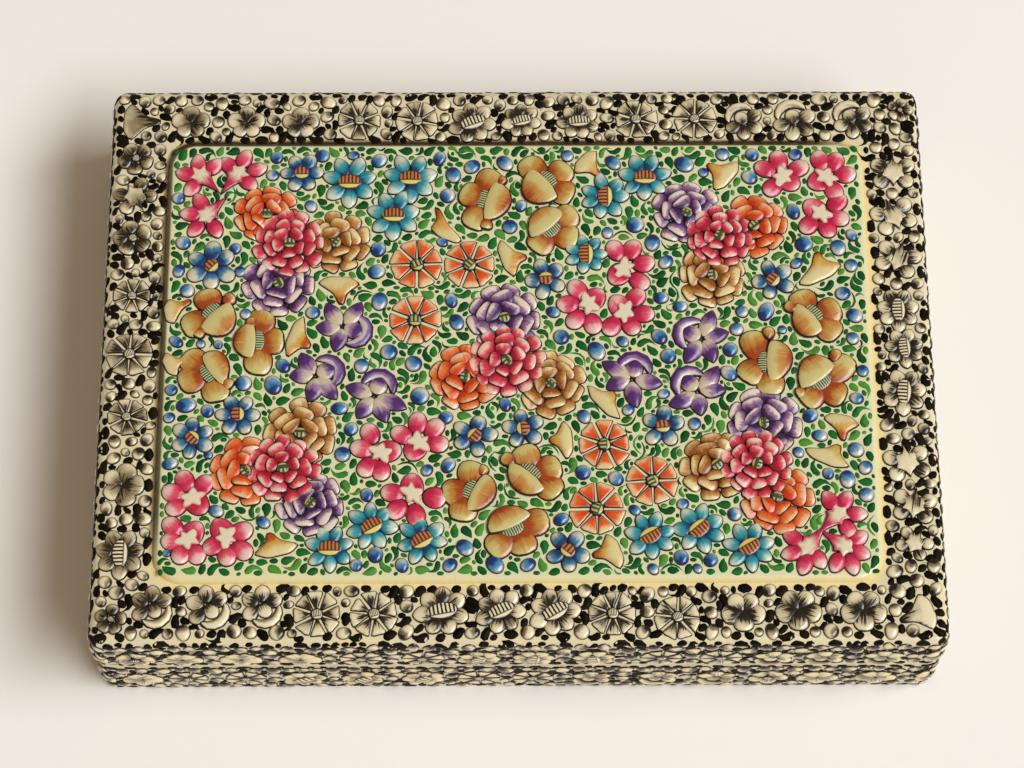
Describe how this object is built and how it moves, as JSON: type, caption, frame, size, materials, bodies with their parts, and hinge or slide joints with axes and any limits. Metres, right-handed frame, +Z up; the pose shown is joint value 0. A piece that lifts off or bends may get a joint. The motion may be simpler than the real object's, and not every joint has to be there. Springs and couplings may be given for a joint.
{
  "type": "papier mache lidded box",
  "caption": "Rectangular papier mache box with a lift-off lid on an inner collar, a raised lid panel, and gesso relief flowers and berries painted and lacquered.",
  "frame": {"origin": "centre of the underside of the tray", "axes": "+X along the length of the box, +Z up, -Y the front"},
  "size_m": [0.1796, 0.1298, 0.0331],
  "materials": {
    "ivory_lacquer": "ivory painted ground under a glossy varnish",
    "black_lacquer": "black lacquer",
    "pink_gesso": "crimson to ivory painted gesso under a glossy varnish",
    "orange_gesso": "orange to ivory painted gesso under a glossy varnish",
    "ochre_gesso": "ochre to ivory painted gesso under a glossy varnish",
    "purple_gesso": "purple to ivory painted gesso under a glossy varnish",
    "teal_gesso": "teal to ivory painted gesso under a glossy varnish",
    "blue_gesso": "blue to ivory painted gesso under a glossy varnish",
    "ivory_gesso": "ivory gesso shaded with black under a glossy varnish"
  },
  "bodies": {
    "tray": {"base_tray": "ivory_lacquer", "collar_front": "black_lacquer", "collar_back": "black_lacquer", "collar_left": "black_lacquer", "collar_right": "black_lacquer", "relief_tray_side_flowers": "ivory_gesso", "relief_tray_side_berries": "ivory_gesso"},
    "lid": {"lid_shell": "ivory_lacquer", "lid_panel": "ivory_lacquer", "relief_rosettes_pink": "pink_gesso", "relief_rosettes_orange": "orange_gesso", "relief_rosettes_ochre": "ochre_gesso", "relief_rosettes_purple": "purple_gesso", "relief_star_blossoms": "pink_gesso", "relief_poppies": "ochre_gesso", "relief_pinwheels": "orange_gesso", "relief_irises": "purple_gesso", "relief_daisies_teal": "teal_gesso", "relief_daisies_blue": "blue_gesso", "relief_trumpet_buds": "ochre_gesso", "relief_panel_berries": "blue_gesso", "relief_border_flowers": "ivory_gesso", "relief_border_berries": "ivory_gesso", "relief_lid_side_flowers": "ivory_gesso", "relief_lid_side_berries": "ivory_gesso"}
  },
  "joints": [
    {"name": "lid_lift", "type": "slide", "parent": "tray", "child": "lid", "axis": [0, 0, 1], "range_m": [0, 0.04]}
  ]
}
